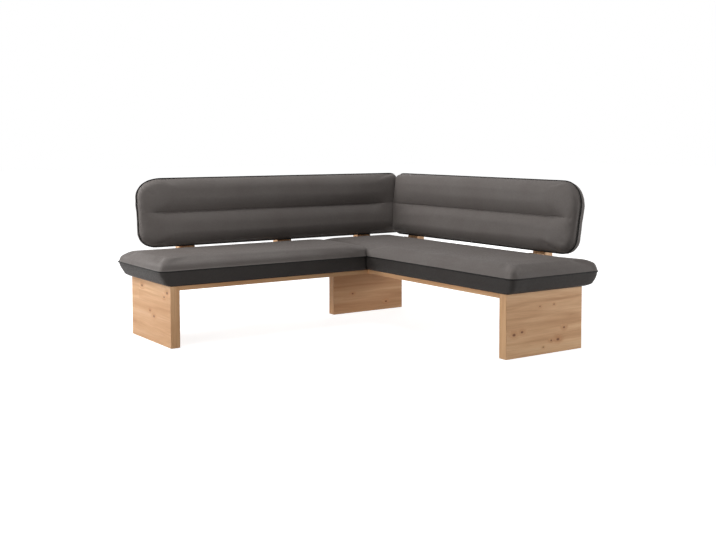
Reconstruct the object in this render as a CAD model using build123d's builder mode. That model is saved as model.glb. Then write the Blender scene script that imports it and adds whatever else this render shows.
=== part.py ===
from build123d import *
import os
from math import cos, radians, sin, tan

# Corner bench: two upholstered seats at right angles on oak panel legs and boards, with two
# reclined upholstered backs on oak uprights. Millimetres, +Z up, the long wing along X and the
# short wing along Y. The origin is on the floor under the middle of the corner leg.

# Legs and boards
panel_thickness = 52
seat_depth = 521
board_top = 322
board_thickness = 22
long_board_length = 1179
short_board_length = 1656
corner_leg_setback = 14
corner_leg_rear_inset = 72
panel_chamfer = 1.5
felt_thickness = 2
felt_margin = 6

# Rear rails
rail_depth = 74
rail_height = 60
long_rail_end_gap = 10
short_rail_end_gap = 45
notch_clearance = 0.5

# Seat cushions
seat_front_overhang = 18
seat_end_overhang = 61
seat_rear_gap = 4
seat_band_height = 74
seat_crown_rise = 52
seat_crown_run = 52
seat_roll_fullness = 1.5
seat_dome_rise = 8
seat_dome_run = 90
seat_corner_radius = 32
seat_corner_growth = 0.15
seat_foot_radius = 20
seat_join_radius = 12
seat_join_share = 0.15
seat_join_gap = 1
seat_join_setback = 6
seat_join_reach = 260
seat_base_thickness = 15
seat_base_margin = 16
seat_base_clearance = 0.5

# Backs
recline = radians(11)
back_height = 401
back_front_depth = 50
back_rear_depth = 37
back_to_seat_gap = 3
back_foot_forward = 5
back_edge_run = 44
back_free_top_radius = 148
back_free_foot_radius = 92
back_corner_radius = 30
back_waist = 9
back_waist_radius = 600
back_rear_round = 18
long_back_inset = 72
short_back_inset = 118
long_back_return = 8
back_corner_gap = 3
back_core_thickness = 15
back_core_depth = 12
back_core_margin = 14
back_core_clearance = 0.3
channel_depth = 16
channel_bow = 0.35
channel_overrun = 2
channel_half_width = 62
channel_fade = 125
channel_start = 46
long_channel_stop = 110
short_channel_stop = 46
loft_steps = 4
roll_sweep = 80

# Uprights
upright_width = 98
upright_depth = 85
upright_arm_thickness = 36
upright_arm_height = 265
upright_shoulder_gap = 8
upright_round = 7
long_upright_places = (380, 1031)
long_corner_upright_place = 396
short_upright_place = 427
short_corner_upright_place = 404

# Fasteners
screw_radius = 2
screw_head_radius = 4
screw_clearance = 0.15
countersink_angle = 90
drill_overrun = 1
bracket_screw_length = 18
bracket_leg = 34
bracket_width = 40
bracket_thickness = 3
bracket_screw_place = 20
bracket_front_inset = 90
bracket_rear_inset = 180
corner_bracket_places = (-60, 150)
long_rail_bracket_shares = (0.2, 0.5, 0.8)
short_rail_bracket_shares = (0.25, 0.5, 0.8)
plate_length = 200
plate_width = 50
plate_thickness = 4
plate_screw_length = 18
plate_screw_offsets = (28, 84)
plate_front_inset = 120
plate_rear_inset = 190
dowel_radius = 4
dowel_length = 38
dowel_clearance = 0.15
dowel_edge = 45
dowel_cover = 4
corner_dowel_spacing = 130
bolt_radius = 4
bolt_head_radius = 6.5
bolt_head_height = 8
bolt_clearance = 0.4
bolt_spacing = 56
bolt_counterbore_radius = 9
bolt_counterbore_depth = 30
washer_radius = 8
washer_thickness = 1.6
insert_radius = 6
insert_length = 30
insert_clearance = 0.1
seat_screw_bite = 12
seat_screw_inset = 180
long_seat_screw_shares = (0.13, 0.5, 0.87)
short_seat_screw_shares = (0.18, 0.4, 0.66, 0.9)
back_screw_radius = 2.5
back_screw_head_radius = 5
back_screw_head_height = 3.5
back_screw_counterbore = 10
back_screw_bite = 12
back_screw_heights = (90, 215)

os.makedirs("parts", exist_ok=True)

# Places worked out from the sizes above. The inner corner is where the two front edges meet.
inner_x = -(corner_leg_setback + seat_depth / 2)
rear_y = panel_thickness / 2 + corner_leg_rear_inset
inner_y = rear_y - seat_depth
rear_x = inner_x + seat_depth
long_inner_face = inner_x - long_board_length
long_end = long_inner_face - panel_thickness
short_inner_face = rear_y - short_board_length
short_end = short_inner_face - panel_thickness
board_bottom = board_top - board_thickness
board_middle = board_top - board_thickness / 2
rail_bottom = board_top - rail_height
rail_rear = seat_depth + rail_depth
seat_rear = rail_rear - seat_rear_gap
seam_height = board_top + seat_band_height
crown_height = seam_height + seat_crown_rise
seat_top = crown_height + seat_dome_rise
foot_depth = rail_rear - back_foot_forward
foot_height = seat_top + back_to_seat_gap
depth_centre = inner_y + seat_depth / 2
wide_centre = inner_x + seat_depth / 2
screw_hole = screw_radius + screw_clearance
screw_sink = screw_head_radius + screw_clearance
back_screw_hole = back_screw_radius + screw_clearance
dowel_hole = dowel_radius + dowel_clearance
insert_hole = insert_radius + insert_clearance
bolt_hole = bolt_radius + bolt_clearance

up_slope = Vector(sin(recline), cos(recline))
to_front = Vector(-cos(recline), sin(recline))


def save(builder, name):
    """Labels a finished piece and writes it as its own file."""
    builder.part.label = name
    export_step(builder.part, f"parts/{name}.step")


def bore(planes, radius, depth):
    """Blind round holes that start at each plane and run against its normal."""
    with Locations(*planes):
        Hole(radius, depth)


def countersunk_screws(planes, length):
    """Screws with conical heads, flush with each plane, pointing against its normal."""
    head_height = screw_head_radius - screw_radius
    downwards = (Align.CENTER, Align.CENTER, Align.MAX)
    with Locations(*planes):
        Cylinder(screw_radius, length, align=downwards)
        Cone(screw_radius, screw_head_radius, head_height, align=downwards)


def section_planes(along_x, places):
    """Upright planes across a wing: x runs to the rear from the front edge, y runs up."""
    if along_x:
        return [Plane((x, inner_y, 0), (0, 1, 0), (1, 0, 0)) for x in places]
    return [Plane((inner_x, y, 0), (1, 0, 0), (0, -1, 0)) for y in places]


# Places of the fasteners, each as a plane at the fastener's head or mouth
down = (0, 0, -1)
up = (0, 0, 1)
long_dowel_places = [
    Plane((long_inner_face, y, board_middle), z_dir=(1, 0, 0))
    for y in (inner_y + dowel_edge, depth_centre, rear_y - dowel_edge)
]
short_dowel_places = [
    Plane((x, short_inner_face, board_middle), z_dir=(0, 1, 0))
    for x in (inner_x + dowel_edge, wide_centre, rear_x - dowel_edge)
]
corner_dowel_places = [
    Plane((x, 0, board_bottom), z_dir=up)
    for x in (-corner_dowel_spacing, 0, corner_dowel_spacing)
]
board_dowel_places = [
    Plane((inner_x, y, board_middle), z_dir=(1, 0, 0))
    for y in (inner_y + dowel_edge, depth_centre, rear_y - dowel_edge)
]
corner_dowel_bite = board_thickness - dowel_cover

plate_rows = (inner_y + plate_front_inset, rear_y - plate_rear_inset)


def plate_screw_seats(side):
    """Screw seats in the joining plates on one side of the joint, pointing down."""
    seat_height = board_bottom - plate_thickness
    return [
        Plane((inner_x + side * offset, y, seat_height), z_dir=down)
        for y in plate_rows
        for offset in plate_screw_offsets
    ]


def bracket_plane(corner, outward):
    """A bracket's inner corner under a board: x runs out of the upright face, y runs down."""
    out = Vector(*outward)
    return Plane(corner, x_dir=outward, z_dir=out.cross(Vector(0, 0, -1)))


long_leg_brackets = [
    bracket_plane((long_inner_face, y, board_bottom), (1, 0, 0))
    for y in (inner_y + bracket_front_inset, rear_y - bracket_rear_inset)
]
short_leg_brackets = [
    bracket_plane((x, short_inner_face, board_bottom), (0, 1, 0))
    for x in (inner_x + bracket_front_inset, rear_x - bracket_rear_inset)
]
corner_leg_brackets = [
    bracket_plane((x, -panel_thickness / 2, board_bottom), (0, -1, 0))
    for x in corner_bracket_places
]
long_rail_brackets = [
    bracket_plane((inner_x - share * long_board_length, rear_y, board_bottom), (0, -1, 0))
    for share in long_rail_bracket_shares
]
short_rail_brackets = [
    bracket_plane((rear_x, rear_y - share * short_board_length, board_bottom), (-1, 0, 0))
    for share in short_rail_bracket_shares
]
long_board_brackets = long_leg_brackets + long_rail_brackets
short_board_brackets = short_leg_brackets + corner_leg_brackets + short_rail_brackets
all_brackets = long_board_brackets + short_board_brackets


def upper_screw_seats(planes):
    """Screw seats on the flanges under the board, pointing down."""
    return [
        Plane(p.from_local_coords((bracket_screw_place, bracket_thickness, 0)), z_dir=p.y_dir)
        for p in planes
    ]


def side_screw_seats(planes):
    """Screw seats on the flanges against the upright faces, pointing outwards."""
    return [
        Plane(p.from_local_coords((bracket_thickness, bracket_screw_place, 0)), z_dir=p.x_dir)
        for p in planes
    ]


long_seat_screw_places = [
    Plane((inner_x - share * long_board_length, y, board_bottom), z_dir=down)
    for share in long_seat_screw_shares
    for y in (inner_y + seat_screw_inset, rear_y - seat_screw_inset)
]
short_seat_screw_places = [
    Plane((x, rear_y - share * short_board_length, board_bottom), z_dir=down)
    for share in short_seat_screw_shares
    for x in (inner_x + seat_screw_inset, rear_x - seat_screw_inset)
]
seat_screw_length = board_thickness + seat_screw_bite

long_places = [long_end + place for place in long_upright_places]
long_sections = section_planes(True, [*long_places, inner_x + long_corner_upright_place])
short_places = [short_end + short_upright_place, inner_y + short_corner_upright_place]
short_sections = section_planes(False, short_places)
bolt_height = board_top - rail_height / 2


def bolt_seats(sections, depth):
    """Bolt centres at a depth behind the front edge, pointing to the rear."""
    return [
        Plane(p.from_local_coords((depth, bolt_height, side * bolt_spacing / 2)), z_dir=p.x_dir)
        for p in sections
        for side in (-1, 1)
    ]


def slope_point(rise, depth):
    """Depth and height of a point on a back, by its rise up the slope and depth to the front."""
    return Vector(foot_depth, foot_height) + up_slope * rise + to_front * depth


def back_screw_seats(sections, depth):
    """Back screw centres on the face at a depth to the front of the seam, pointing to the rear."""
    seats = []
    for p in sections:
        outward = p.x_dir * cos(recline) - p.y_dir * sin(recline)
        for rise in back_screw_heights:
            point = slope_point(rise, depth)
            seats.append(Plane(p.from_local_coords((point.X, point.Y, 0)), z_dir=outward))
    return seats


arm_rear = -(back_rear_depth + upright_arm_thickness)
core_front = -back_core_depth
core_rear = -(back_core_depth + back_core_thickness)
back_screw_length = (
    upright_arm_thickness - back_screw_counterbore + back_rear_depth + core_rear + back_screw_bite
)


# Panel legs: solid oak panels on felt strips. The boards butt against the two end legs, and the
# corner leg stands under the short board with a notch round the short rail.
with BuildPart() as long_wing_leg:
    with BuildSketch(Plane.XY.offset(felt_thickness)):
        with Locations((long_end + panel_thickness / 2, depth_centre)):
            Rectangle(panel_thickness, seat_depth)
    extrude(amount=board_top - felt_thickness)
    chamfer(long_wing_leg.edges().filter_by(Axis.Z), panel_chamfer)
    bore(long_dowel_places, dowel_hole, dowel_length / 2)
    bore(side_screw_seats(long_leg_brackets), screw_hole, bracket_screw_length)
save(long_wing_leg, "long_wing_leg")

with BuildPart() as short_wing_leg:
    with BuildSketch(Plane.XY.offset(felt_thickness)):
        with Locations((wide_centre, short_end + panel_thickness / 2)):
            Rectangle(seat_depth, panel_thickness)
    extrude(amount=board_top - felt_thickness)
    chamfer(short_wing_leg.edges().filter_by(Axis.Z), panel_chamfer)
    bore(short_dowel_places, dowel_hole, dowel_length / 2)
    bore(side_screw_seats(short_leg_brackets), screw_hole, bracket_screw_length)
save(short_wing_leg, "short_wing_leg")

with BuildPart() as corner_leg:
    with BuildSketch(Plane.XY.offset(felt_thickness)):
        Rectangle(seat_depth, panel_thickness)
    extrude(amount=board_bottom - felt_thickness)
    chamfer(corner_leg.edges().filter_by(Axis.Z), panel_chamfer)
    with BuildSketch(Plane.XY.offset(rail_bottom - notch_clearance)):
        with Locations((rear_x - notch_clearance, 0)):
            Rectangle(seat_depth, 2 * panel_thickness, align=(Align.MIN, Align.CENTER))
    extrude(amount=rail_height, mode=Mode.SUBTRACT)
    bore(corner_dowel_places, dowel_hole, dowel_length - corner_dowel_bite)
    bore(side_screw_seats(corner_leg_brackets), screw_hole, bracket_screw_length)
save(corner_leg, "corner_leg")

felt_strips = {
    "long_leg_felt": ((long_end + panel_thickness / 2, depth_centre), False),
    "short_leg_felt": ((wide_centre, short_end + panel_thickness / 2), True),
    "corner_leg_felt": ((0, 0), True),
}
for felt_name, (felt_centre, lies_along_x) in felt_strips.items():
    with BuildPart() as felt_strip:
        with BuildSketch():
            with Locations(Location((*felt_centre, 0), (0, 0, 0 if lies_along_x else 90))):
                Rectangle(seat_depth - 2 * felt_margin, panel_thickness - 2 * felt_margin)
        extrude(amount=felt_thickness)
    save(felt_strip, felt_name)

# Seat boards: oak boards that carry the cushions. The short board takes the corner, and the long
# board butts against its front edge.
with BuildPart() as long_seat_board:
    with BuildSketch(Plane.XY.offset(board_bottom)):
        with Locations((inner_x - long_board_length / 2, depth_centre)):
            Rectangle(long_board_length, seat_depth)
    extrude(amount=board_thickness)
    bore([-p for p in long_dowel_places], dowel_hole, dowel_length / 2)
    bore(board_dowel_places, dowel_hole, dowel_length / 2)
    bore(upper_screw_seats(long_board_brackets), screw_hole, bracket_screw_length)
    bore(plate_screw_seats(-1), screw_hole, plate_screw_length)
    with Locations(*long_seat_screw_places):
        CounterSinkHole(screw_hole, screw_sink, board_thickness, countersink_angle)
save(long_seat_board, "long_seat_board")

with BuildPart() as short_seat_board:
    with BuildSketch(Plane.XY.offset(board_bottom)):
        with Locations((wide_centre, rear_y - short_board_length / 2)):
            Rectangle(seat_depth, short_board_length)
    extrude(amount=board_thickness)
    bore([-p for p in short_dowel_places], dowel_hole, dowel_length / 2)
    bore([-p for p in board_dowel_places], dowel_hole, dowel_length / 2)
    bore([-p for p in corner_dowel_places], dowel_hole, corner_dowel_bite)
    bore(upper_screw_seats(short_board_brackets), screw_hole, bracket_screw_length)
    bore(plate_screw_seats(1), screw_hole, plate_screw_length)
    with Locations(*short_seat_screw_places):
        CounterSinkHole(screw_hole, screw_sink, board_thickness, countersink_angle)
save(short_seat_board, "short_seat_board")

# Rear rails: oak rails behind the boards, under the rear overhang of the cushions. The uprights
# are bolted into threaded inserts in their rear faces.
long_rail_start = long_inner_face + long_rail_end_gap
long_rail_length = rear_x + rail_depth - long_rail_start
with BuildPart() as long_rear_rail:
    with BuildSketch(Plane.XY.offset(rail_bottom)):
        with Locations((long_rail_start + long_rail_length / 2, rear_y + rail_depth / 2)):
            Rectangle(long_rail_length, rail_depth)
    extrude(amount=rail_height)
    bore(bolt_seats(long_sections, rail_rear), insert_hole, insert_length)
    bore(side_screw_seats(long_rail_brackets), screw_hole, bracket_screw_length)
save(long_rear_rail, "long_rear_rail")

short_rail_length = short_board_length - short_rail_end_gap
with BuildPart() as short_rear_rail:
    with BuildSketch(Plane.XY.offset(rail_bottom)):
        with Locations((rear_x + rail_depth / 2, rear_y - short_rail_length / 2)):
            Rectangle(rail_depth, short_rail_length)
    extrude(amount=rail_height)
    bore(bolt_seats(short_sections, rail_rear), insert_hole, insert_length)
    bore(side_screw_seats(short_rail_brackets), screw_hole, bracket_screw_length)
save(short_rear_rail, "short_rear_rail")

# Seat bases: plywood panels in the undersides of the cushions, screwed on through the boards.
long_base_length = inner_x - long_end - 2 * seat_base_margin
short_base_length = rear_y - short_end - 2 * seat_base_margin
base_depth = seat_depth - 2 * seat_base_margin
long_base_centre = ((inner_x + long_end) / 2, depth_centre)
short_base_centre = (wide_centre, (rear_y + short_end) / 2)

with BuildPart() as long_seat_base:
    with BuildSketch(Plane.XY.offset(board_top)):
        with Locations(long_base_centre):
            Rectangle(long_base_length, base_depth)
    extrude(amount=seat_base_thickness)
    bore(long_seat_screw_places, screw_hole, seat_screw_length)
save(long_seat_base, "long_seat_base")

with BuildPart() as short_seat_base:
    with BuildSketch(Plane.XY.offset(board_top)):
        with Locations(short_base_centre):
            Rectangle(base_depth, short_base_length)
    extrude(amount=seat_base_thickness)
    bore(short_seat_screw_places, screw_hole, seat_screw_length)
save(short_seat_base, "short_seat_base")


def seat_outline(height, low, high, radii):
    """A rounded rectangle at a height: radii in order from the low corner, anticlockwise."""
    with BuildSketch(Plane.XY.offset(height)) as outline:
        with BuildLine():
            corners = [low, (high[0], low[1]), high, (low[0], high[1])]
            FilletPolyline(*corners, radius=radii, close=True)
        make_face()
    return outline.sketch


def roll_steps():
    """Steps of a rolled edge: shares of its height and of how far it draws in."""
    steps = []
    for step in range(loft_steps + 1):
        angle = radians(roll_sweep * step / loft_steps)
        rise = sin(angle) / sin(radians(roll_sweep))
        draw = (1 - cos(angle)) / (1 - cos(radians(roll_sweep)))
        steps.append((rise, draw**seat_roll_fullness))
    return steps


def band_sections(foot_low, foot_high, seam_low, seam_high, foot_radii, seam_radii):
    """Outlines of a cushion's band, rolled in from its seam down to its foot on the board."""
    sections = []
    for drop, draw in roll_steps():
        low = tuple(s + draw * (f - s) for s, f in zip(seam_low, foot_low))
        high = tuple(s + draw * (f - s) for s, f in zip(seam_high, foot_high))
        radii = [s + draw * (f - s) for s, f in zip(seam_radii, foot_radii)]
        sections.append(seat_outline(seam_height - drop * seat_band_height, low, high, radii))
    return sections


# Seat cushions: foam on the bases under a sewn cover. The band rolls in from the seam to the
# board, and the top rolls up from the seam to a gentle crown. The short cushion's top turns the
# inner corner, so that it meets the end of the long cushion in a narrow joint.
seam_x = inner_x - seat_front_overhang
seam_y = inner_y - seat_front_overhang
free_x = long_end - seat_end_overhang
free_y = short_end - seat_end_overhang
seam_rear_x = inner_x + seat_rear
seam_rear_y = inner_y + seat_rear
joint_x = seam_x - seat_join_gap
base_play = 2 * seat_base_clearance
cavity_height = seat_base_thickness + seat_base_clearance
crown_steps = [
    (seam_height + rise * seat_crown_rise, draw * seat_crown_run)
    for rise, draw in roll_steps()
]
crown_steps.append((seat_top, seat_crown_run + seat_dome_run))

long_band = band_sections(
    (long_end, inner_y),
    (inner_x - seat_join_gap, rear_y),
    (free_x, seam_y),
    (joint_x, seam_rear_y),
    [seat_foot_radius, seat_join_radius, seat_join_radius, seat_foot_radius],
    [seat_corner_radius, seat_join_radius, seat_join_radius, seat_corner_radius],
)
long_crown = []
for height, inset in crown_steps:
    free = seat_corner_radius + seat_corner_growth * inset
    low = (free_x + inset, seam_y + inset)
    high = (joint_x - seat_join_share * inset, seam_rear_y - inset)
    radii = [free, seat_join_radius, seat_join_radius, free]
    long_crown.append(seat_outline(height, low, high, radii))

with BuildPart() as long_seat_cushion:
    loft(long_band)
    loft(long_crown[:-1])
    loft(long_crown[-2:], ruled=True)
    with BuildSketch(Plane.XY.offset(board_top)):
        with Locations(long_base_centre):
            Rectangle(long_base_length + base_play, base_depth + base_play)
    extrude(amount=cavity_height, mode=Mode.SUBTRACT)
save(long_seat_cushion, "long_seat_cushion")

short_band = band_sections(
    (inner_x, short_end),
    (rear_x, rear_y),
    (seam_x, free_y),
    (seam_rear_x, seam_rear_y),
    [seat_foot_radius, seat_foot_radius, seat_foot_radius, seat_join_radius],
    [seat_corner_radius, seat_corner_radius, seat_corner_radius, seat_join_radius],
)
short_crown = []
corner_crown = []
for height, inset in crown_steps:
    free = seat_corner_radius + seat_corner_growth * inset
    low = (seam_x + inset, free_y + inset)
    high = (seam_rear_x - inset, seam_rear_y - inset)
    radii = [free, free, free, seat_join_radius]
    short_crown.append(seat_outline(height, low, high, radii))
    low = (seam_x + seat_join_setback + seat_join_share * inset, seam_y + inset)
    high = (seam_x + seat_join_reach, seam_rear_y - seat_join_setback - inset)
    corner_crown.append(seat_outline(height, low, high, 4 * [seat_join_radius]))

with BuildPart() as short_seat_cushion:
    loft(short_band)
    loft(short_crown[:-1])
    loft(short_crown[-2:], ruled=True)
    loft(corner_crown[:-1])
    loft(corner_crown[-2:], ruled=True)
    with BuildSketch(Plane.XY.offset(board_top)):
        with Locations(short_base_centre):
            Rectangle(base_depth + base_play, short_base_length + base_play)
    extrude(amount=cavity_height, mode=Mode.SUBTRACT)
save(short_seat_cushion, "short_seat_cushion")

# Backs: a front cushion, a plywood core and a rear cover that wraps the core, all on one reclined
# plane through the edge seam. In that plane x runs from the free end and y runs up the slope.
long_back_start = long_end + long_back_inset
long_back_end = inner_x + foot_depth + back_height * sin(recline) + long_back_return
long_back_length = long_back_end - long_back_start
short_back_start = short_end + short_back_inset
short_back_end = inner_y + foot_depth - back_front_depth / cos(recline) - back_corner_gap
short_back_length = short_back_end - short_back_start
long_seam_plane = Plane(
    (long_back_start, inner_y + foot_depth, foot_height), (1, 0, 0), (0, -cos(recline), sin(recline))
)
short_seam_plane = Plane(
    (inner_x + foot_depth, short_back_start, foot_height), (0, -1, 0), (-cos(recline), 0, sin(recline))
)


def back_outline(back, depth, inset):
    """A back's outline at a depth to the front of its seam, drawn in all round by an inset."""
    plane, length, lean, side = back
    low, high = inset, back_height - inset
    near = side * inset
    far_low = side * (length - inset + lean * low)
    far_high = side * (length - inset + lean * high)
    points = [(near, low), (far_low, low), (far_high, high), (near, high)]
    waist = (near + side * back_waist, back_height / 2)
    top = back_free_top_radius - inset
    foot = back_free_foot_radius - inset
    corner = back_corner_radius - inset / 2
    with BuildSketch(plane.offset(depth)) as outline:
        with BuildLine():
            radii = [foot, corner, corner, top, back_waist_radius]
            FilletPolyline(*points, waist, radius=radii, close=True)
        make_face()
    return outline.sketch


def quarter_round(run, rise):
    """Steps of a rounded edge: rise along the depth, with how far each draws in."""
    angles = [radians(90 * step / loft_steps) for step in range(loft_steps + 1)]
    return [(rise * sin(angle), run * (1 - cos(angle))) for angle in angles]


def channel_groove(back, stop):
    """The sewn channel along the middle of a back's front, which rises out of it at its ends."""
    plane, length, _, side = back
    low = back_height / 2 - channel_half_width
    middle = back_height / 2
    high = back_height / 2 + channel_half_width
    end_lift = channel_depth + channel_overrun
    places = [
        (channel_start, end_lift),
        (channel_start + channel_fade, 0),
        (length - stop - channel_fade, 0),
        (length - stop, end_lift),
    ]
    with BuildPart() as groove:
        for place, lift in places:
            rim = back_front_depth + channel_overrun + lift
            floor = back_front_depth - channel_depth + lift
            bow = rim + channel_bow * (floor - rim)
            across = Plane(plane.from_local_coords((side * place, 0, 0)), plane.y_dir, plane.x_dir)
            with BuildSketch(across):
                with BuildLine():
                    ThreePointArc((low, rim), ((low + middle) / 2, bow), (middle, floor))
                    ThreePointArc((middle, floor), ((middle + high) / 2, bow), (high, rim))
                    Line((high, rim), (low, rim))
                make_face()
        loft(ruled=True)
    return groove.part


long_back = (long_seam_plane, long_back_length, 0, 1)
short_back = (short_seam_plane, short_back_length, sin(recline), -1)
straight_depth = back_rear_depth - back_rear_round
backs = {
    "long": (long_back, long_channel_stop, long_sections),
    "short": (short_back, short_channel_stop, short_sections),
}
for wing, (back, channel_stop, sections) in backs.items():
    groove = channel_groove(back, channel_stop)
    front_round = [
        back_outline(back, depth, inset)
        for depth, inset in quarter_round(back_edge_run, back_front_depth)
    ]
    rear_round = [
        back_outline(back, -straight_depth - depth, inset)
        for depth, inset in quarter_round(back_rear_round, back_rear_round)
    ]

    with BuildPart() as back_cushion:
        extrude(back_outline(back, core_front, 0), amount=back_core_depth)
        loft(front_round)
        add(groove, mode=Mode.SUBTRACT)
    save(back_cushion, f"{wing}_back_cushion")

    with BuildPart() as back_core:
        extrude(back_outline(back, core_rear, back_core_margin), amount=back_core_thickness)
        bore(back_screw_seats(sections, core_rear), back_screw_hole, back_screw_bite)
    save(back_core, f"{wing}_back_core")

    core_room = back_outline(back, core_rear, back_core_margin - back_core_clearance)
    with BuildPart() as back_cover:
        extrude(rear_round[0], amount=straight_depth - back_core_depth)
        loft(rear_round)
        extrude(core_room, amount=back_core_thickness, mode=Mode.SUBTRACT)
        bore(back_screw_seats(sections, -back_rear_depth), back_screw_hole, back_rear_depth)
    save(back_cover, f"{wing}_back_cover")

# Uprights: oak brackets behind the seats. The block is bolted to the rail, its shoulder passes
# under the back, and the reclined arm is screwed to the back's core.
shoulder = slope_point(-upright_shoulder_gap, -back_rear_depth)
arm_top = slope_point(upright_arm_height, -back_rear_depth)
arm_top_rear = slope_point(upright_arm_height, arm_rear)
block_rear = rail_rear + upright_depth
upright_profile = [
    (rail_rear, rail_bottom),
    (rail_rear, shoulder.Y + (shoulder.X - rail_rear) * tan(recline)),
    (shoulder.X, shoulder.Y),
    (arm_top.X, arm_top.Y),
    (arm_top_rear.X, arm_top_rear.Y),
    (block_rear, arm_top_rear.Y - (arm_top_rear.X - block_rear) / tan(recline)),
    (block_rear, rail_bottom),
]
upright_names = {
    "long_upright_outer": long_sections[0],
    "long_upright_middle": long_sections[1],
    "long_upright_corner": long_sections[2],
    "short_upright_outer": short_sections[0],
    "short_upright_corner": short_sections[1],
}
for upright_name, section in upright_names.items():
    with BuildPart() as upright:
        with BuildSketch(section):
            with BuildLine():
                Polyline(*upright_profile, close=True)
            make_face()
        extrude(amount=upright_width / 2, both=True)
        top_edges = upright.edges().group_by(Axis.Z)[-1]
        fillet(top_edges, upright_round)
        with Locations(*bolt_seats([section], block_rear)):
            CounterBoreHole(bolt_hole, bolt_counterbore_radius, bolt_counterbore_depth)
        with Locations(*back_screw_seats([section], arm_rear)):
            CounterBoreHole(
                back_screw_hole,
                back_screw_head_radius + screw_clearance,
                back_screw_counterbore,
                upright_arm_thickness + drill_overrun,
            )
    save(upright, upright_name)

# Fasteners and fittings
with BuildPart() as leg_dowels:
    with Locations(*long_dowel_places, *short_dowel_places):
        Cylinder(dowel_radius, dowel_length)
    with Locations(*[p.offset(corner_dowel_bite) for p in corner_dowel_places]):
        Cylinder(dowel_radius, dowel_length, align=(Align.CENTER, Align.CENTER, Align.MAX))
save(leg_dowels, "leg_dowels")

with BuildPart() as board_dowels:
    with Locations(*board_dowel_places):
        Cylinder(dowel_radius, dowel_length)
save(board_dowels, "board_dowels")

with BuildPart() as joining_plates:
    with BuildSketch(Plane.XY.offset(board_bottom - plate_thickness)):
        with Locations(*[(inner_x, y) for y in plate_rows]):
            Rectangle(plate_length, plate_width)
    extrude(amount=plate_thickness)
    with Locations(*plate_screw_seats(-1), *plate_screw_seats(1)):
        CounterSinkHole(screw_hole, screw_sink, plate_thickness, countersink_angle)
save(joining_plates, "joining_plates")

with BuildPart() as plate_screws:
    countersunk_screws(plate_screw_seats(-1) + plate_screw_seats(1), plate_screw_length)
save(plate_screws, "plate_screws")

with BuildPart() as angle_brackets:
    for bracket in all_brackets:
        with BuildSketch(bracket):
            Rectangle(bracket_leg, bracket_thickness, align=Align.MIN)
            Rectangle(bracket_thickness, bracket_leg, align=Align.MIN)
        extrude(amount=bracket_width / 2, both=True)
    with Locations(*upper_screw_seats(all_brackets), *side_screw_seats(all_brackets)):
        CounterSinkHole(screw_hole, screw_sink, bracket_thickness, countersink_angle)
save(angle_brackets, "angle_brackets")

with BuildPart() as bracket_screws:
    countersunk_screws(upper_screw_seats(all_brackets), bracket_screw_length)
    countersunk_screws(side_screw_seats(all_brackets), bracket_screw_length)
save(bracket_screws, "bracket_screws")

with BuildPart() as seat_screws:
    countersunk_screws(long_seat_screw_places + short_seat_screw_places, seat_screw_length)
save(seat_screws, "seat_screws")

bolt_face = block_rear - bolt_counterbore_depth
bolt_length = bolt_face + washer_thickness - rail_rear + insert_length
all_sections = long_sections + short_sections
rearwards = (Align.CENTER, Align.CENTER, Align.MIN)
frontwards = (Align.CENTER, Align.CENTER, Align.MAX)
with BuildPart() as bolt_washers:
    with Locations(*bolt_seats(all_sections, bolt_face)):
        Cylinder(washer_radius, washer_thickness, align=rearwards)
        Cylinder(bolt_hole, washer_thickness, align=rearwards, mode=Mode.SUBTRACT)
save(bolt_washers, "bolt_washers")

with BuildPart() as upright_bolts:
    with Locations(*bolt_seats(all_sections, bolt_face + washer_thickness)):
        Cylinder(bolt_head_radius, bolt_head_height, align=rearwards)
        Cylinder(bolt_radius, bolt_length, align=frontwards)
save(upright_bolts, "upright_bolts")

with BuildPart() as threaded_inserts:
    with Locations(*bolt_seats(all_sections, rail_rear)):
        Cylinder(insert_radius, insert_length, align=frontwards)
        Cylinder(bolt_radius + insert_clearance, insert_length, align=frontwards, mode=Mode.SUBTRACT)
save(threaded_inserts, "threaded_inserts")

with BuildPart() as back_screws:
    with Locations(*back_screw_seats(all_sections, arm_rear + back_screw_counterbore)):
        Cylinder(back_screw_head_radius, back_screw_head_height, align=rearwards)
        Cylinder(back_screw_radius, back_screw_length, align=frontwards)
save(back_screws, "back_screws")
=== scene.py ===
from math import cos, pi, radians, sin

import bpy
import numpy as np
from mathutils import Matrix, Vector


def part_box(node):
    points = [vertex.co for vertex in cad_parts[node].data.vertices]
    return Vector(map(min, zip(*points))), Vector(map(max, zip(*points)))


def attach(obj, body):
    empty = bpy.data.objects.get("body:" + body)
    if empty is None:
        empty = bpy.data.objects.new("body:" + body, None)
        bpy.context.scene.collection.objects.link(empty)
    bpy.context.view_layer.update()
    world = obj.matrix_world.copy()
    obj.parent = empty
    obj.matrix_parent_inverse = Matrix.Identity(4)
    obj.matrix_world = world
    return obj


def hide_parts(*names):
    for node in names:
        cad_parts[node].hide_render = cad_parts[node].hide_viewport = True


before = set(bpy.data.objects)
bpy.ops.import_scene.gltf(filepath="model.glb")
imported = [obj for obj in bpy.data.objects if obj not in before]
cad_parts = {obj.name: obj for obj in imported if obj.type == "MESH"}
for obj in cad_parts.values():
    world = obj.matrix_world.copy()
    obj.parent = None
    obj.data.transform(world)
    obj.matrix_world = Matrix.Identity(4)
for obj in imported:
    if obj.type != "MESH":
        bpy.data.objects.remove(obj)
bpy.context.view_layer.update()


# Panel legs: three upright panels of light knotty oak with lightly broken edges, dowelled under the
# seat boards. The grain runs along the panels, and their narrow edges are lipped with upright strips.

def linear(red, green, blue):
    """A screen colour, 0 to 255, as the scene-linear colour that a socket takes."""
    toe_end, toe_slope, offset, gamma = 0.04045, 12.92, 0.055, 2.4
    shares = [value / 255 for value in (red, green, blue)]
    curve = [s / toe_slope if s <= toe_end else ((s + offset) / (1 + offset)) ** gamma for s in shares]
    return (*curve, 1)


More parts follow.
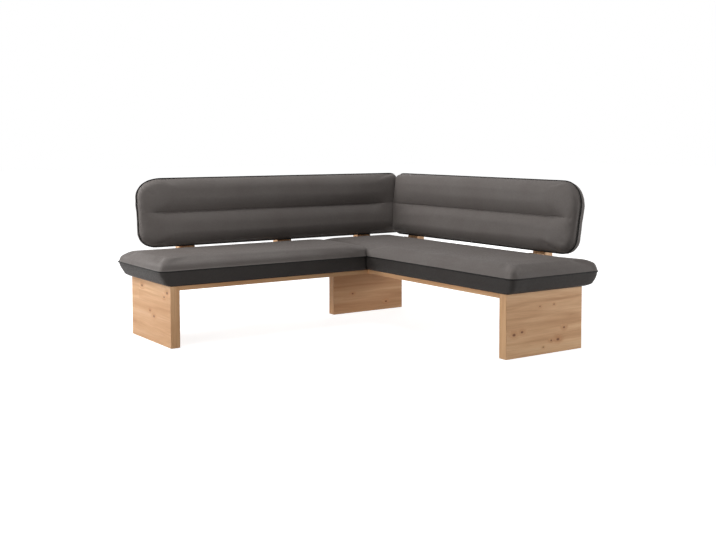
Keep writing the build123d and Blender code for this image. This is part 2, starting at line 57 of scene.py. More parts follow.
class Finish:
    """A material whose nodes are added one by one and linked to the surface shader."""

    def __init__(self, name):
        self.material = bpy.data.materials.new(name)
        self.material.use_nodes = True
        self.tree = self.material.node_tree
        self.surface = self.tree.nodes["Principled BSDF"]
        self.place = self.node("ShaderNodeTexCoord").outputs["Object"]

    def node(self, kind, inputs=None, **settings):
        """Adds a node, sets its options and fills its inputs with values or links."""
        made = self.tree.nodes.new(kind)
        for key, value in settings.items():
            setattr(made, key, value)
        for key, value in (inputs or {}).items():
            self.feed(made.inputs[key], value)
        return made

    def feed(self, socket, value):
        """Links an output to a socket, or writes a plain value on it."""
        if isinstance(value, bpy.types.NodeSocket):
            self.tree.links.new(value, socket)
        else:
            socket.default_value = value

    def math(self, operation, first, second=0.0):
        """A step of arithmetic on one or two numbers."""
        return self.node("ShaderNodeMath", {0: first, 1: second}, operation=operation).outputs[0]

    def vector(self, operation, first, second=(0, 0, 0)):
        """A step of arithmetic on one or two vectors."""
        made = self.node("ShaderNodeVectorMath", {0: first, 1: second}, operation=operation)
        return made.outputs["Value" if operation in ("DOT_PRODUCT", "LENGTH") else "Vector"]

    def noise(self, place, scale=1.0, detail=4.0, roughness=0.55, distortion=0.0):
        """A cloudy pattern over a place."""
        inputs = {
            "Vector": place,
            "Scale": scale,
            "Detail": detail,
            "Roughness": roughness,
            "Distortion": distortion,
        }
        return self.node("ShaderNodeTexNoise", inputs).outputs["Fac"]

    def span(self, value, low, high, start=0.0, end=1.0):
        """Maps a range of a value onto another, with soft ends."""
        inputs = {"Value": value, 1: low, 2: high, 3: start, 4: end}
        made = self.node("ShaderNodeMapRange", inputs, interpolation_type="SMOOTHSTEP")
        return made.outputs["Result"]

    def ramp(self, share, *stops):
        """A run of colours, given as (position, colour) from low to high."""
        made = self.node("ShaderNodeValToRGB", {"Fac": share})
        elements = made.color_ramp.elements
        while len(elements) < len(stops):
            elements.new(0.5)
        for element, (position, colour) in zip(elements, stops):
            element.position = position
            element.color = colour
        return made.outputs["Color"]

    def mix(self, share, first, second):
        """One colour laid over another by a share."""
        made = self.node("ShaderNodeMix", data_type="RGBA")
        for index, value in ((0, share), (6, first), (7, second)):
            self.feed(made.inputs[index], value)
        return made.outputs[2]

    def bump(self, height, distance, strength):
        """A fine relief on the surface."""
        made = self.node("ShaderNodeBump", {"Height": height, "Distance": distance, "Strength": strength})
        self.feed(self.surface.inputs["Normal"], made.outputs["Normal"])

    def set(self, **inputs):
        """Fills sockets of the surface shader, named with underscores for spaces."""
        for key, value in inputs.items():
            self.feed(self.surface.inputs[key.replace("_", " ")], value)


def oak(name, grain, edge=None, knots=(), seed=0.0, shade=0.1):
    """Oiled knotty oak in planks along the grain, with upright strips on the faces along edge; shade is a
    share of painted shade that darkens all of it.
    """
    finish = Finish(name)
    axes = {"X": Vector((1, 0, 0)), "Y": Vector((0, 1, 0)), "Z": Vector((0, 0, 1))}
    along = axes[grain]
    across = Vector((1, 1, 1)) - along
    place = finish.vector("ADD", finish.place, (seed, seed, seed))

    # Knots: brown oval eyes with a soft reddish ring, which push the grain aside
    oval_squeeze = 0.65
    grain_push = 0.014
    eye = 0.0
    ring = 0.0
    for centre, radius in knots:
        offset = finish.vector("SUBTRACT", finish.place, centre)
        oval = finish.vector("MULTIPLY", offset, (along * oval_squeeze + across) / radius)
        distance = finish.vector("LENGTH", oval)
        in_eye = finish.span(distance, low=0.2, high=1.0, start=1.0, end=0.0)
        in_ring = finish.span(distance, low=0.6, high=3.4, start=1.0, end=0.0)
        eye = finish.math("MAXIMUM", eye, in_eye)
        ring = finish.math("MAXIMUM", ring, in_ring)
    push = {0: across * grain_push, "Scale": ring}
    aside = finish.node("ShaderNodeVectorMath", push, operation="SCALE")
    place = finish.vector("ADD", place, aside.outputs["Vector"])

    # Lipping: the edge faces carry upright strips
    upright = 0.0
    if edge:
        normal = finish.node("ShaderNodeTexCoord").outputs["Normal"]
        facing = finish.math("ABSOLUTE", finish.vector("DOT_PRODUCT", normal, axes[edge]))
        upright = finish.span(facing, low=0.6, high=0.9)

    def stretched(lengthwise, crosswise):
        """The place scaled so that a noise draws long streaks along the grain."""
        face = finish.vector("MULTIPLY", place, along * lengthwise + across * crosswise)
        strip = finish.vector("MULTIPLY", place, Vector((crosswise, crosswise, lengthwise)))
        turned = finish.node("ShaderNodeMix", data_type="VECTOR")
        for index, value in ((0, upright), (4, face), (5, strip)):
            finish.feed(turned.inputs[index], value)
        return turned.outputs[1]

    plank = finish.vector("FLOOR", stretched(lengthwise=0.4, crosswise=19.0))
    plank_tone = finish.node("ShaderNodeTexWhiteNoise", {"Vector": plank}).outputs["Value"]
    streaks = stretched(lengthwise=1.3, crosswise=26.0)
    figure = finish.noise(streaks, detail=5.0, roughness=0.62, distortion=0.5)
    fibre = finish.noise(stretched(lengthwise=7.0, crosswise=240.0), detail=3.0, roughness=0.6)
    pores = finish.noise(stretched(lengthwise=30.0, crosswise=900.0), detail=2.0, roughness=0.5)

    # Tones: the figure first, then planks, fibres and pores, then a painted shade that darkens the whole
    # part, and the knots
    late_wood = linear(192, 143, 101)
    middle_wood = linear(218, 171, 127)
    early_wood = linear(231, 187, 142)
    pale_wood = linear(241, 202, 159)
    plank_brown = linear(198, 147, 104)
    fibre_brown = linear(182, 134, 94)
    pore_brown = linear(150, 108, 74)
    painted_shade_brown = linear(160, 112, 76)
    ring_red = linear(190, 124, 76)
    eye_brown = linear(96, 48, 12)
    ring_share = 0.40
    eye_share = 0.95
    figure_stops = ((0.26, late_wood), (0.44, middle_wood), (0.58, early_wood), (0.78, pale_wood))
    wood = finish.ramp(figure, *figure_stops)
    wood = finish.mix(finish.span(plank_tone, low=0.0, high=1.0, end=0.30), wood, plank_brown)
    wood = finish.mix(finish.span(fibre, low=0.42, high=0.75, end=0.30), wood, fibre_brown)
    wood = finish.mix(finish.span(pores, low=0.62, high=0.80, end=0.30), wood, pore_brown)
    # painted shade: the whole part is darkened towards a brown by the shade share, for the light it lacks
    wood = finish.mix(shade, wood, painted_shade_brown)
    wood = finish.mix(finish.math("MULTIPLY", ring, ring_share), wood, ring_red)
    wood = finish.mix(finish.math("MULTIPLY", eye, eye_share), wood, eye_brown)

    fibre_height = 0.6
    pore_height = -0.5
    oil_gloss = 0.25
    raised_fibre = finish.math("MULTIPLY", fibre, fibre_height)
    sunken_pores = finish.math("MULTIPLY", pores, pore_height)
    finish.bump(finish.math("ADD", raised_fibre, sunken_pores), distance=0.0006, strength=0.5)
    finish.set(Base_Color=wood, Roughness=finish.span(figure, low=0.2, high=0.8, start=0.58, end=0.44))
    finish.surface.inputs["Specular IOR Level"].default_value = oil_gloss
    return finish.material


def dress(material, *nodes):
    """Gives solids that stay as they are a finish."""
    for node in nodes:
        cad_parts[node].material_slots[0].material = material


long_leg_face = -1.5055
short_leg_face = -1.610
corner_leg_face = -0.026
long_leg_knots = [
    ((long_leg_face, -0.045, 0.287), 0.009),
    ((long_leg_face, -0.380, 0.285), 0.010),
    ((long_leg_face, -0.341, 0.259), 0.007),
    ((long_leg_face, -0.152, 0.165), 0.006),
    ((long_leg_face, -0.205, 0.140), 0.009),
]
short_leg_knots = [
    ((-0.050, short_leg_face, 0.246), 0.004),
    ((0.047, short_leg_face, 0.248), 0.004),
    ((-0.223, short_leg_face, 0.119), 0.010),
    ((-0.170, short_leg_face, 0.128), 0.008),
    ((0.119, short_leg_face, 0.123), 0.007),
    ((0.077, short_leg_face, 0.066), 0.010),
    ((0.030, short_leg_face, 0.065), 0.006),
    ((-0.025, short_leg_face, 0.037), 0.004),
]
corner_leg_knots = [
    ((0.134, corner_leg_face, 0.050), 0.008),
    ((-0.120, corner_leg_face, 0.120), 0.006),
]
# Each leg's shade share is painted shade, darkest on the corner leg under the seats
long_leg_oak = oak("oak_long_leg", "Y", edge="Y", knots=long_leg_knots, seed=0.0, shade=0.08)
short_leg_oak = oak("oak_short_leg", "X", edge="X", knots=short_leg_knots, seed=3.1, shade=0.0)
corner_leg_oak = oak("oak_corner_leg", "X", edge="X", knots=corner_leg_knots, seed=5.7, shade=0.3)
dress(long_leg_oak, "long_wing_leg")
dress(short_leg_oak, "short_wing_leg")
dress(corner_leg_oak, "corner_leg")


# Felt strips: grey wool felt, pressed to 2 mm and cut into one strip for each leg. They are glued
# under the legs, so that the bench slides without marking the floor.

felt = Finish("pressed_felt")
felt_hair = felt.noise(felt.place, scale=900.0, detail=6.0, roughness=0.7)
felt_dark = linear(58, 54, 50)
felt_light = linear(92, 87, 81)
felt.bump(felt_hair, distance=0.0006, strength=0.8)
felt.set(Base_Color=felt.ramp(felt_hair, (0.3, felt_dark), (0.7, felt_light)), Roughness=0.95)
dress(felt.material, "long_leg_felt", "short_leg_felt", "corner_leg_felt")


# Seat boards and rear rails: the boards carry the cushions and the rails behind them carry the
# uprights. Both are sawn from the same oak, with the grain along their length.

# The boards and rails keep the default share of painted shade.
dress(oak("oak_long_board", "X", seed=8.3), "long_seat_board", "long_rear_rail")
dress(oak("oak_short_board", "Y", seed=11.9), "short_seat_board", "short_rear_rail")


# Uprights: five brackets sawn from oak with upright grain, each with an arm that leans with the
# back. They are bolted to the rear rails, and the cores of the backs are screwed to their arms.

dress(
    oak("oak_uprights", "Z", seed=14.2, shade=0.0),
    "long_upright_outer",
    "long_upright_middle",
    "long_upright_corner",
    "short_upright_outer",
    "short_upright_corner",
)


# Plywood: birch panels inside the seats and the backs, glued up from plies about 1.5 mm thick. The
# seat bases are screwed on from under the boards, and the back cores to the uprights.

plywood = Finish("birch_plywood")
ply_stretch = (8, 90, 650)
ply_streaks = plywood.noise(plywood.vector("MULTIPLY", plywood.place, ply_stretch))
ply_dark = linear(176, 142, 104)
ply_light = linear(222, 194, 156)
plywood.bump(ply_streaks, distance=0.0004, strength=0.4)
plywood.set(Base_Color=plywood.ramp(ply_streaks, (0.3, ply_dark), (0.7, ply_light)), Roughness=0.6)
dress(plywood.material, "long_seat_base", "short_seat_base", "long_back_core", "short_back_core")


# Fittings: plates, angle brackets, screws, bolts, washers and inserts of zinc-plated steel, and
# turned beech dowels. They join the boards, legs, rails, uprights, bases and cores.

zinc = Finish("zinc_plated_steel")
zinc_spangle = zinc.noise(zinc.place, scale=160.0, detail=3.0)
zinc_skin = zinc.noise(zinc.place, scale=1400.0, detail=2.0)
zinc_dull = linear(168, 172, 176)
zinc_bright = linear(206, 208, 210)
zinc.bump(zinc_skin, distance=0.0002, strength=0.3)
zinc.set(
    Base_Color=zinc.ramp(zinc_spangle, (0.3, zinc_dull), (0.7, zinc_bright)),
    Roughness=zinc.span(zinc_spangle, low=0.3, high=0.7, start=0.28, end=0.42),
    Metallic=1.0,
)
dress(
    zinc.material,
    "joining_plates",
    "plate_screws",
    "angle_brackets",
    "bracket_screws",
    "seat_screws",
    "bolt_washers",
    "upright_bolts",
    "threaded_inserts",
    "back_screws",
)

beech = Finish("beech")
beech_stretch = (120, 120, 700)
beech_flecks = beech.noise(beech.vector("MULTIPLY", beech.place, beech_stretch), detail=3.0)
beech_dark = linear(196, 152, 112)
beech_light = linear(216, 176, 138)
beech.bump(beech_flecks, distance=0.0003, strength=0.4)
beech.set(Base_Color=beech.ramp(beech_flecks, (0.3, beech_dark), (0.7, beech_light)), Roughness=0.6)
dress(beech.material, "leg_dowels", "board_dowels")


# Seat cushions: cut foam on the plywood bases under a smooth dark grey microfibre cover. A crowned
# top panel and a band are sewn together in one welted seam that runs round each cushion.

def solid_copy(name, *nodes):
    """The solids of some nodes as one new mesh with its points merged."""
    bpy.ops.object.select_all(action="DESELECT")
    for node in nodes:
        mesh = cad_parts[node].data.copy()
        mesh.materials.clear()
        piece = bpy.data.objects.new(name, mesh)
        bpy.context.scene.collection.objects.link(piece)
        piece.select_set(True)
        bpy.context.view_layer.objects.active = piece
    bpy.ops.object.join()
    bpy.ops.object.mode_set(mode="EDIT")
    bpy.ops.mesh.select_all(action="SELECT")
    bpy.ops.mesh.remove_doubles(threshold=1e-5)
    bpy.ops.object.mode_set(mode="OBJECT")
    merged = bpy.context.object
    merged.name = name
    return merged


def finish_with(piece, kind, **settings):
    """Adds a modifier with its settings and applies it."""
    bpy.context.view_layer.objects.active = piece
    modifier = piece.modifiers.new(kind.lower(), kind)
    for key, value in settings.items():
        setattr(modifier, key, value)
    bpy.ops.object.modifier_apply(modifier=modifier.name)


def even_skin(piece, face_size):
    """Lays an even net of faces over a piece, which can then swell like a cover."""
    piece.data.remesh_voxel_size = face_size
    piece.data.use_remesh_preserve_volume = True
    bpy.ops.object.voxel_remesh()
    finish_with(piece, "SMOOTH", factor=0.5, iterations=2)


def points(mesh):
    """A mesh's points as rows of x, y and z."""
    flat = np.empty(len(mesh.vertices) * 3)
    mesh.vertices.foreach_get("co", flat)
    return flat.reshape(-1, 3)


def directions(mesh):
    """The directions in which a mesh faces at its points."""
    flat = np.empty(len(mesh.vertices) * 3)
    mesh.vertex_normals.foreach_get("vector", flat)
    return flat.reshape(-1, 3)


def move(piece, places):
    """Puts a piece's points in new places."""
    piece.data.vertices.foreach_set("co", places.ravel())
    piece.data.update()


def height_over(piece, point, normal):
    """How far each point lies in front of a plane."""
    return (points(piece.data) - np.array(point)) @ np.array(normal)


def cut(piece, point, normal, *offsets):
    """Adds edge loops to a piece where planes at some offsets pass through it."""
    bpy.ops.object.select_all(action="DESELECT")
    bpy.context.view_layer.objects.active = piece
    bpy.ops.object.mode_set(mode="EDIT")
    for offset in offsets:
        bpy.ops.mesh.select_all(action="SELECT")
        plane_point = Vector(point) + Vector(normal) * offset
        bpy.ops.mesh.bisect(plane_co=plane_point, plane_no=normal, threshold=1e-6)
    bpy.ops.object.mode_set(mode="OBJECT")


def on_cut(piece, point, normal):
    """Marks the points that a cut has laid on a plane."""
    cut_tolerance = 1e-5
    return np.abs(height_over(piece, point, normal)) < cut_tolerance


def inflate(piece, sewn, slack, swell):
    """Swells the cover between its sewn points by a cloth simulation, from a slightly smaller start."""
    last_step = 20
    least_reach = 1e-9
    start = points(piece.data) - (slack * ~sewn)[:, None] * directions(piece.data)
    move(piece, start)
    held = piece.vertex_groups.new(name="held")
    held.add(np.nonzero(sewn)[0].tolist(), 1.0, "REPLACE")
    cloth = piece.modifiers.new("cover", "CLOTH")
    cloth.settings.quality = 3
    cloth.settings.mass = 0.4
    cloth.settings.tension_stiffness = 40
    cloth.settings.compression_stiffness = 40
    cloth.settings.shear_stiffness = 10
    cloth.settings.bending_stiffness = 3
    cloth.settings.use_pressure = True
    cloth.settings.uniform_pressure_force = 4
    cloth.settings.effector_weights.gravity = 0
    cloth.settings.vertex_group_mass = "held"
    cloth.collision_settings.use_collision = False
    for step in range(1, last_step + 1):
        bpy.context.scene.frame_set(step)
    graph = bpy.context.evaluated_depsgraph_get()
    shift = points(piece.evaluated_get(graph).data) - start
    reach = np.linalg.norm(shift, axis=1)
    piece.modifiers.remove(cloth)
    piece.vertex_groups.remove(held)
    kept_share = np.minimum(1, swell / np.maximum(reach, least_reach))
    move(piece, start + shift * kept_share[:, None])
    bpy.context.scene.frame_set(1)


def pull_in(piece, depth):
    """Draws points into the padding, each by its own depth."""
    move(piece, points(piece.data) - depth[:, None] * directions(piece.data))


def welt(name, piece, line, radius):
    """A thin round welt laid along the points of a sewn line."""
    bpy.ops.object.select_all(action="DESELECT")
    piece.select_set(True)
    bpy.context.view_layer.objects.active = piece
    bpy.ops.object.mode_set(mode="EDIT")
    bpy.ops.mesh.select_mode(type="EDGE")
    bpy.ops.mesh.select_all(action="DESELECT")
    bpy.ops.object.mode_set(mode="OBJECT")
    for edge in piece.data.edges:
        edge.select = bool(line[edge.vertices[0]] and line[edge.vertices[1]])
    bpy.ops.object.mode_set(mode="EDIT")
    bpy.ops.mesh.duplicate()
    bpy.ops.mesh.separate(type="SELECTED")
    bpy.ops.object.mode_set(mode="OBJECT")
    cord = next(made for made in bpy.context.selected_objects if made != piece)
    cord.name = name
    finish_with(cord, "SMOOTH", factor=0.5, iterations=6)
    bpy.ops.object.select_all(action="DESELECT")
    cord.select_set(True)
    bpy.context.view_layer.objects.active = cord
    bpy.ops.object.convert(target="CURVE")
    cord.data.bevel_depth = radius
    cord.data.bevel_resolution = 2
    bpy.ops.object.convert(target="MESH")
    bpy.ops.object.shade_smooth()
    return cord


def round_off(piece):
    """Rounds a sewn cover once more and shades it smooth."""
    finish_with(piece, "SUBSURF", levels=1, render_levels=1)
    bpy.ops.object.select_all(action="DESELECT")
    piece.select_set(True)
    bpy.ops.object.shade_smooth()


def microfibre(name, depth):
    """Smooth grey upholstery: a fine grain, a soft nap and a cloudy tone, darkened towards black by
    depth, a share of painted shade.
    """
    finish = Finish(name)
    grain_scale = 620.0
    grain_height = -0.5
    cloth_gloss = 0.14
    shaded_nap = linear(101, 95, 92)
    lit_nap = linear(108, 103, 100)
    mottle_grey = linear(89, 84, 81)
    grain_grey = linear(78, 72, 69)
    black = (0, 0, 0, 1)
    grain = finish.node("ShaderNodeTexVoronoi", {"Vector": finish.place, "Scale": grain_scale})
    pebble = finish.span(grain.outputs["Distance"], low=0.0, high=0.7)
    nap = finish.noise(finish.place, scale=5.0, detail=4.0, roughness=0.6, distortion=0.4)
    mottle = finish.noise(finish.place, scale=90.0, detail=3.0, roughness=0.6)
    cloth = finish.ramp(nap, (0.30, shaded_nap), (0.70, lit_nap))
    cloth = finish.mix(finish.span(mottle, low=0.35, high=0.7, end=0.15), cloth, mottle_grey)
    cloth = finish.mix(finish.span(pebble, low=0.55, high=1.0, end=0.15), cloth, grain_grey)
    relief = finish.math("ADD", finish.math("MULTIPLY", pebble, grain_height), mottle)
    finish.bump(relief, distance=0.0005, strength=0.35)
    # painted shade: depth darkens the cloth towards black
    cloth = finish.mix(depth, cloth, black)
    finish.set(Base_Color=cloth, Roughness=finish.span(mottle, low=0.3, high=0.7, start=0.52, end=0.64))
    finish.surface.inputs["Specular IOR Level"].default_value = cloth_gloss
    return finish.material


upholstery = microfibre("grey_microfibre", depth=0.0)
# The seat bands are darkened with painted shade, for the shade under the top panels' overhang
band_cloth_painted_shade = microfibre("band_microfibre_painted_shade", depth=0.70)
# The welts and the channel thread are real cords, darkened nearly to black as painted shade of the seam
# and channel creases
welt_cloth_painted_shade = microfibre("welt_microfibre_painted_shade", depth=0.95)

seat_face_size = 0.014
seat_band = 0.080
seat_glue = 0.004
seat_seam_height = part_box("long_seat_board")[1].z + seat_band
seat_glue_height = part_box("long_seat_base")[1].z + seat_glue
seat_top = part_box("long_seat_cushion")[1].z
seat_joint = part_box("short_seat_cushion")[0].x
seat_inner_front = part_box("long_seat_cushion")[0].y
seat_slack = 0.003
seat_top_swell = 0.010
seat_band_swell = 0.002
seat_seam_width = 0.005
seat_seam_rise = 0.001
seat_welt_radius = 0.0034
seat_lift = 0.007
long_end_crown = 0.003
short_end_crown = 0.006
seat_front_crown = 0.005
seat_crown_inset = 0.026
long_corner_fill = 0.004
short_corner_fill = 0.014
seat_corner_reach = 0.075
long_end_tuck = 0.018
short_end_tuck = 0.011
seat_front_tuck = 0.006
long_tuck_turn = 0.75
short_tuck_turn = 1.0
seat_tuck_curve = 1.5
seat_side_fullness = 0.008
joint_lean = 0.040
joint_lean_curve = 3
joint_reach = 0.090
joint_hold = 0.012
joint_share = 0.5

for wing, end_axis, end_crown, corner_fill, end_tuck, tuck_turn in (
    ("long", 0, long_end_crown, long_corner_fill, long_end_tuck, long_tuck_turn),
    ("short", 1, short_end_crown, short_corner_fill, short_end_tuck, short_tuck_turn),
):
    front_axis = 1 - end_axis
    cushion = solid_copy(f"{wing}_seat_padding", f"{wing}_seat_cushion")
    even_skin(cushion, seat_face_size)

    # The joint between the cushions leans over the roll of the short one
    places = points(cushion.data)
    from_joint = np.abs(places[:, 0] - seat_joint)
    beside_joint = (from_joint < joint_hold) & (places[:, 1] > seat_inner_front + joint_hold)
    rise = np.clip((places[:, 2] - seat_seam_height) / (seat_top - seat_seam_height), 0, 1)
    near_joint = np.clip(1 - from_joint / joint_reach, 0, 1)
    places[:, 0] += joint_lean * rise**joint_lean_curve * near_joint

    # The top is lifted a little, and its free rear corner is filled out
    places[:, 2] += seat_lift * rise
    facing = directions(cushion.data)
    corner, far_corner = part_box(f"{wing}_seat_cushion")
    from_end = places[:, end_axis] - corner[end_axis]
    from_rear = far_corner[front_axis] - places[:, front_axis]
    near_corner = np.clip(1 - np.hypot(from_end, from_rear) / seat_corner_reach, 0, 1)
    places[:, 2] += corner_fill * near_corner * np.sqrt(rise)

    # The top panel is crowned along its free edges, and the band is tucked in under them
    drop = np.clip((seat_seam_height - places[:, 2]) / seat_band, 0, 1)
    joint_fade = np.clip((from_joint - joint_hold) / joint_reach, 0, 1)
    for axis, crown, tuck in (
        (end_axis, end_crown, end_tuck),
        (front_axis, seat_front_crown, seat_front_tuck),
    ):
        inset = np.maximum(places[:, axis] - corner[axis], 0) / seat_crown_inset
        beside_long_seat = (wing == "short") & (places[:, 1] > seat_inner_front)
        lift = crown * inset * np.exp(1 - inset) * (rise > 0)
        places[:, 2] += np.where(beside_long_seat, 0, lift)
        outward = np.clip(-facing[:, axis], 0, 1) * joint_fade
        places[:, axis] += tuck * np.sin(pi * tuck_turn * drop**seat_tuck_curve) * outward
        places[:, axis] -= seat_side_fullness * np.sin(pi * rise) * outward
    move(cushion, places)

    # The cover is cut along its seam and swells between the seam, the glued foot and the joint
    seam_point = (0, 0, seat_seam_height)
    up = (0, 0, 1)
    joint_mark = cushion.data.attributes.new("beside_joint", "FLOAT", "POINT")
    joint_mark.data.foreach_set("value", beside_joint.astype(float))
    cut(cushion, seam_point, up, 0.0)
    marked = np.empty(len(cushion.data.vertices))
    cushion.data.attributes["beside_joint"].data.foreach_get("value", marked)
    seam = on_cut(cushion, seam_point, up)
    glued = points(cushion.data)[:, 2] < seat_glue_height
    over_seam = height_over(cushion, seam_point, up) > 0
    swell = np.where(over_seam, seat_top_swell, seat_band_swell)
    inflate(cushion, seam | glued | (marked > joint_share), seat_slack, swell)
    cut(cushion, seam_point, up, -seat_seam_width, seat_seam_width)
    seam = on_cut(cushion, seam_point, up)
    pull_in(cushion, seam * -seat_seam_rise)
    piping = welt(f"{wing}_seat_welt", cushion, seam, seat_welt_radius)
    round_off(cushion)
    for piece, covers in ((cushion, (upholstery, band_cloth_painted_shade)), (piping, (welt_cloth_painted_shade,))):
        for cover in covers:
            piece.data.materials.append(cover)
        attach(piece, "root")
    # Faces under the seam take the band cloth with its painted shade
    for face in cushion.data.polygons:
        face.material_index = int(face.center.z < seat_seam_height)
    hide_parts(f"{wing}_seat_cushion")


# Backs: upholstered panels that lean back 11 degrees, padded in front of a plywood core and closed
# behind with the same cover. One sewn channel runs along the middle, and a welt follows the edge.

back_face_size = 0.013
back_recline = radians(11)
back_height = 0.401
long_back_foot = Vector((0, 0.167, 0.459))
short_back_foot = Vector((0.3155, 0, 0.459))
long_rearward = Vector((0, 1, 0))
short_rearward = Vector((1, 0, 0))
back_slack = 0.003
back_swell = 0.010
back_seam_width = 0.004
back_seam_rise = 0.001
back_welt_radius = 0.0035
back_foot_lift = 0.009
back_foot_reach = 0.09
long_back_fill = 0.034
short_back_fill = 0.0
back_corner_reach = 0.12
long_back_bulge = 0.0
short_back_bulge = 0.034
back_bulge_reach = 0.18
channel_start = 0.03
long_channel_stop = 0.10
short_channel_stop = 0.06
channel_fade = 0.10
channel_groove_depth = 0.006
channel_groove_width = 0.026
channel_line_width = 0.007
channel_line_depth = 0.012
channel_thread_radius = 0.0016
channel_clearance = 0.02
channel_hold = 0.3


def channel_share(run, stop):
    """How firmly the channel is sewn down along a back: it fades out before both ends."""
    inside = np.minimum(run - run.min() - channel_start, run.max() - run - stop)
    return np.clip(inside / channel_fade, 0, 1)


def sewn_lines(back, foot, front, middle, up_slope, run_axis, stop):
    """A back's points on its edge seam, and the share by which its channel sews the others down."""
    in_front = height_over(back, foot, front) > channel_clearance
    in_channel = on_cut(back, middle, up_slope) & in_front
    share = channel_share(points(back.data)[:, run_axis], stop)
    return on_cut(back, foot, front), in_channel * share


for wing, run_axis, foot, rearward, fill, bulge, channel_stop in (
    ("long", 0, long_back_foot, long_rearward, long_back_fill, long_back_bulge, long_channel_stop),
    ("short", 1, short_back_foot, short_rearward, short_back_fill, short_back_bulge, short_channel_stop),
):
    back = solid_copy(f"{wing}_back_padding", f"{wing}_back_cushion", f"{wing}_back_cover")
    even_skin(back, back_face_size)
    up_slope = rearward * sin(back_recline) + Vector((0, 0, cos(back_recline)))
    front = Vector((0, 0, sin(back_recline))) - rearward * cos(back_recline)
    middle = foot + up_slope * back_height / 2

    # The lower edge is drawn up over the seat, and the free upper corner is filled out
    places = points(back.data)
    above = height_over(back, foot, up_slope)
    depth = height_over(back, foot, front)
    raised = back_foot_lift * np.clip(1 - above / back_foot_reach, 0, 1)
    places += raised[:, None] * np.array(up_slope)
    run = places[:, run_axis].copy()
    near_top = np.clip(1 - (above.max() - above) / back_corner_reach, 0, 1)
    near_end = np.clip(1 - (run - run.min()) / back_corner_reach, 0, 1)
    places[:, run_axis] -= fill * near_top * near_end

    # The end at the corner bulges forward, and the channel draws a soft groove into the padding
    low = np.clip(1 - above / back_height, 0, 1)
    near_corner = np.clip(1 - (run.max() - run) / back_bulge_reach, 0, 1)
    bulged = bulge * np.sin(pi / 2 * low) * near_corner**2 * (depth > 0)
    places -= bulged[:, None] * np.array(rearward)
    from_channel = height_over(back, middle, up_slope)
    groove = np.exp(-((from_channel / channel_groove_width) ** 2)) * channel_share(run, channel_stop)
    groove = groove * (depth > channel_clearance)
    places -= channel_groove_depth * groove[:, None] * np.array(front)
    move(back, places)

    # The cover is cut along its seam and its channel and swells between them
    cut(back, foot, front, 0.0)
    cut(back, middle, up_slope, 0.0)
    seam, channel = sewn_lines(back, foot, front, middle, up_slope, run_axis, channel_stop)
    behind = height_over(back, foot, front) < 0
    inflate(back, seam | behind | (channel > channel_hold), back_slack, back_swell)
    cut(back, foot, front, -back_seam_width, back_seam_width)
    cut(back, middle, up_slope, -channel_line_width, channel_line_width)
    seam, channel = sewn_lines(back, foot, front, middle, up_slope, run_axis, channel_stop)
    pull_in(back, channel * channel_line_depth - seam * back_seam_rise)
    piping = welt(f"{wing}_back_welt", back, seam, back_welt_radius)
    # The thread along the channel is a dark cord that paints the shade of the channel crease
    thread = welt(f"{wing}_back_shade_thread", back, channel > channel_hold, channel_thread_radius)
    round_off(back)
    for piece, cover in ((back, upholstery), (piping, welt_cloth_painted_shade), (thread, welt_cloth_painted_shade)):
        piece.data.materials.append(cover)
        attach(piece, "root")
    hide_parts(f"{wing}_back_cushion", f"{wing}_back_cover")


# Floor, light and camera: a pale floor that glows to white, six soft square lamps round the bench
# and one camera in front of the inner corner. None of it is part of the bench.

floor_width = 60
bpy.ops.mesh.primitive_plane_add(size=floor_width)
floor = bpy.context.object
floor.name = "floor"
floor_white = (1, 1, 1, 1)
floor_shown_grey = (0.6, 0.6, 0.6, 1)
floor_bounce_grey = (0.3, 0.3, 0.3, 1)
floor_finish = Finish("pale_floor")
seen = floor_finish.node("ShaderNodeLightPath").outputs
shown = floor_finish.math("MAXIMUM", seen["Is Camera Ray"], seen["Is Glossy Ray"])
shown = floor_finish.math("MAXIMUM", shown, seen["Is Transmission Ray"])
reach = floor_finish.vector("LENGTH", floor_finish.place)
glow = floor_finish.span(reach, low=2.0, high=5.0, start=0.86, end=1.0)
white = floor_finish.node("ShaderNodeEmission", {"Color": floor_white, "Strength": glow})
matt = floor_finish.node("ShaderNodeBsdfDiffuse", {"Color": floor_shown_grey})
dim = floor_finish.node("ShaderNodeBsdfDiffuse", {"Color": floor_bounce_grey})
pale = floor_finish.node("ShaderNodeAddShader", {0: white.outputs[0], 1: matt.outputs[0]})
ground = floor_finish.node("ShaderNodeMixShader", {0: shown, 1: dim.outputs[0], 2: pale.outputs[0]})
floor_output = floor_finish.tree.nodes["Material Output"]
floor_finish.feed(floor_output.inputs["Surface"], ground.outputs[0])
floor.data.materials.append(floor_finish.material)

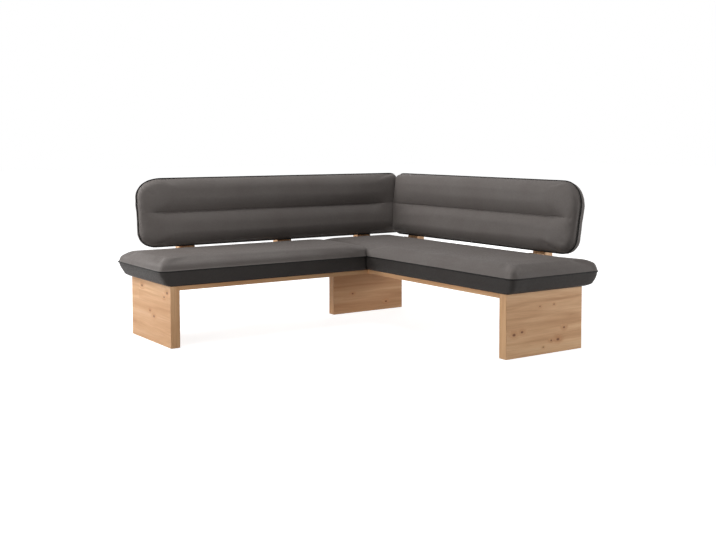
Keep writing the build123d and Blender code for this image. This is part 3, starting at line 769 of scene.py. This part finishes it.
sky_shown = 1.0
sky_fill = 0.06
world = bpy.data.worlds.new("studio")
bpy.context.scene.world = world
world.use_nodes = True
sky_nodes = world.node_tree.nodes
sky_links = world.node_tree.links
sky = sky_nodes["Background"]
sky.inputs["Color"].default_value = (1, 1, 1, 1)
sky_path = sky_nodes.new("ShaderNodeLightPath")
sky_mirrored = sky_nodes.new("ShaderNodeMath")
sky_mirrored.operation = "MAXIMUM"
sky_seen = sky_nodes.new("ShaderNodeMath")
sky_seen.operation = "MAXIMUM"
sky_level = sky_nodes.new("ShaderNodeMapRange")
sky_level.inputs["To Min"].default_value = sky_fill
sky_level.inputs["To Max"].default_value = sky_shown
sky_links.new(sky_path.outputs["Is Glossy Ray"], sky_mirrored.inputs[0])
sky_links.new(sky_path.outputs["Is Transmission Ray"], sky_mirrored.inputs[1])
sky_links.new(sky_path.outputs["Is Camera Ray"], sky_seen.inputs[0])
sky_links.new(sky_mirrored.outputs[0], sky_seen.inputs[1])
sky_links.new(sky_seen.outputs[0], sky_level.inputs["Value"])
sky_links.new(sky_level.outputs["Result"], sky.inputs["Strength"])

bench_middle = Vector((-0.4, -0.4, 0.4))


def softbox(name, place, width, watts):
    """A square lamp at a place, turned to the middle of the bench."""
    lamp_data = bpy.data.lights.new(name, "AREA")
    lamp_data.size = width
    lamp_data.energy = watts
    lamp = bpy.data.objects.new(name, lamp_data)
    bpy.context.scene.collection.objects.link(lamp)
    lamp.location = place
    lamp.rotation_euler = (bench_middle - Vector(place)).to_track_quat("-Z", "Y").to_euler()


softbox("key_light", place=(-2.9, 1.4, 2.1), width=1.2, watts=62)
softbox("low_left_light", place=(-4.2, 2.6, 0.8), width=1.2, watts=34)
softbox("front_left_light", place=(-4.4, -2.4, 0.8), width=1.4, watts=54)
softbox("front_right_light", place=(3.0, -4.0, 0.9), width=1.6, watts=92)
softbox("top_light", place=(-0.7, -0.6, 4.6), width=2.6, watts=105)
softbox("rear_light", place=(2.8, 3.4, 1.3), width=2.0, watts=70)

camera_dip = 3.334
camera_turn = -34.823
camera_data = bpy.data.cameras.new("camera")
camera = bpy.data.objects.new("camera", camera_data)
bpy.context.scene.collection.objects.link(camera)
bpy.context.scene.camera = camera
camera.location = (-3.6403, -5.3262, 1.0765)
camera.rotation_euler = (radians(90 - camera_dip), 0, radians(camera_turn))
camera_data.sensor_width = 36
camera_data.lens = 51.782
camera_data.shift_x = -0.0233
camera_data.shift_y = -0.0983
bpy.context.scene.view_settings.view_transform = "Standard"
